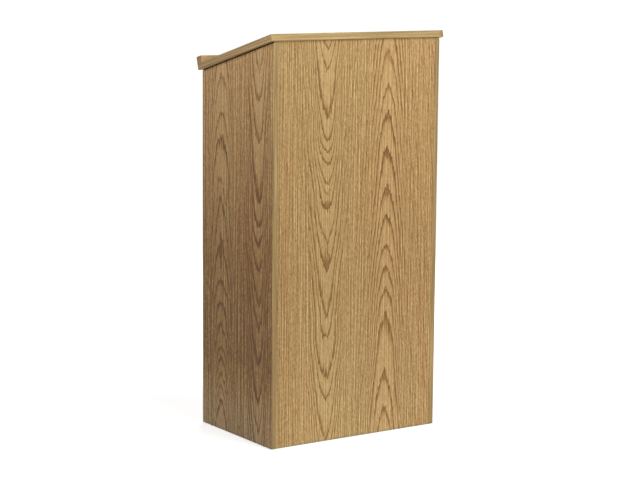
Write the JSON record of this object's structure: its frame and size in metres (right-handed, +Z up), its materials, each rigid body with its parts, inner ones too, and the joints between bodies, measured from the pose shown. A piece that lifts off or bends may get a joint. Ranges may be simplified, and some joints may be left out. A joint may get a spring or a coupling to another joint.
{
  "type": "presentation lectern",
  "caption": "Floor-standing lectern in oak-look laminate: closed audience face and sides, sloped reading board with a paper stop, and shelves open to the reader.",
  "frame": {"origin": "on the floor, midway across the width and midway along the overall depth", "axes": "+Z up; -Y out of the audience face; +Y towards the reader; +X to the audience's right"},
  "size_m": [0.578, 0.399, 1.149],
  "materials": {
    "oak_laminate": "satin oak-look laminate with cathedral grain",
    "oak_edge_band": "satin oak-look edge band, straight grain",
    "zinc_casting": "dull cast zinc",
    "plated_steel": "zinc-plated steel",
    "cap_plastic": "matt plastic matched to the laminate",
    "beech": "raw beech",
    "nylon": "off-white nylon"
  },
  "bodies": {
    "lectern": {"left_side_panel": "oak_laminate", "right_side_panel": "oak_laminate", "front_panel": "oak_laminate", "reading_board": "oak_laminate", "paper_stop": "oak_laminate", "bottom_shelf": "oak_laminate", "kick_rail": "oak_laminate", "fixed_shelf": "oak_laminate", "left_front_band": "oak_edge_band", "left_rear_band": "oak_edge_band", "right_front_band": "oak_edge_band", "right_rear_band": "oak_edge_band", "board_front_band": "oak_edge_band", "board_rear_band": "oak_edge_band", "board_left_band": "oak_edge_band", "board_right_band": "oak_edge_band", "stop_end_bands": "oak_edge_band", "bottom_shelf_band": "oak_edge_band", "fixed_shelf_band": "oak_edge_band", "cam_locks": "zinc_casting", "cam_bolts": "plated_steel", "cam_caps": "cap_plastic", "wood_dowels": "beech", "shelf_pins": "plated_steel", "stop_screws": "zinc_casting", "floor_glides": "nylon"},
    "loose_shelf": {"adjustable_shelf": "oak_laminate", "adjustable_shelf_band": "oak_edge_band"}
  },
  "joints": [
    {"name": "shelf_slide", "type": "slide", "parent": "lectern", "child": "loose_shelf", "axis": [0, 1, 0], "range_m": [0, 0.055]}
  ]
}
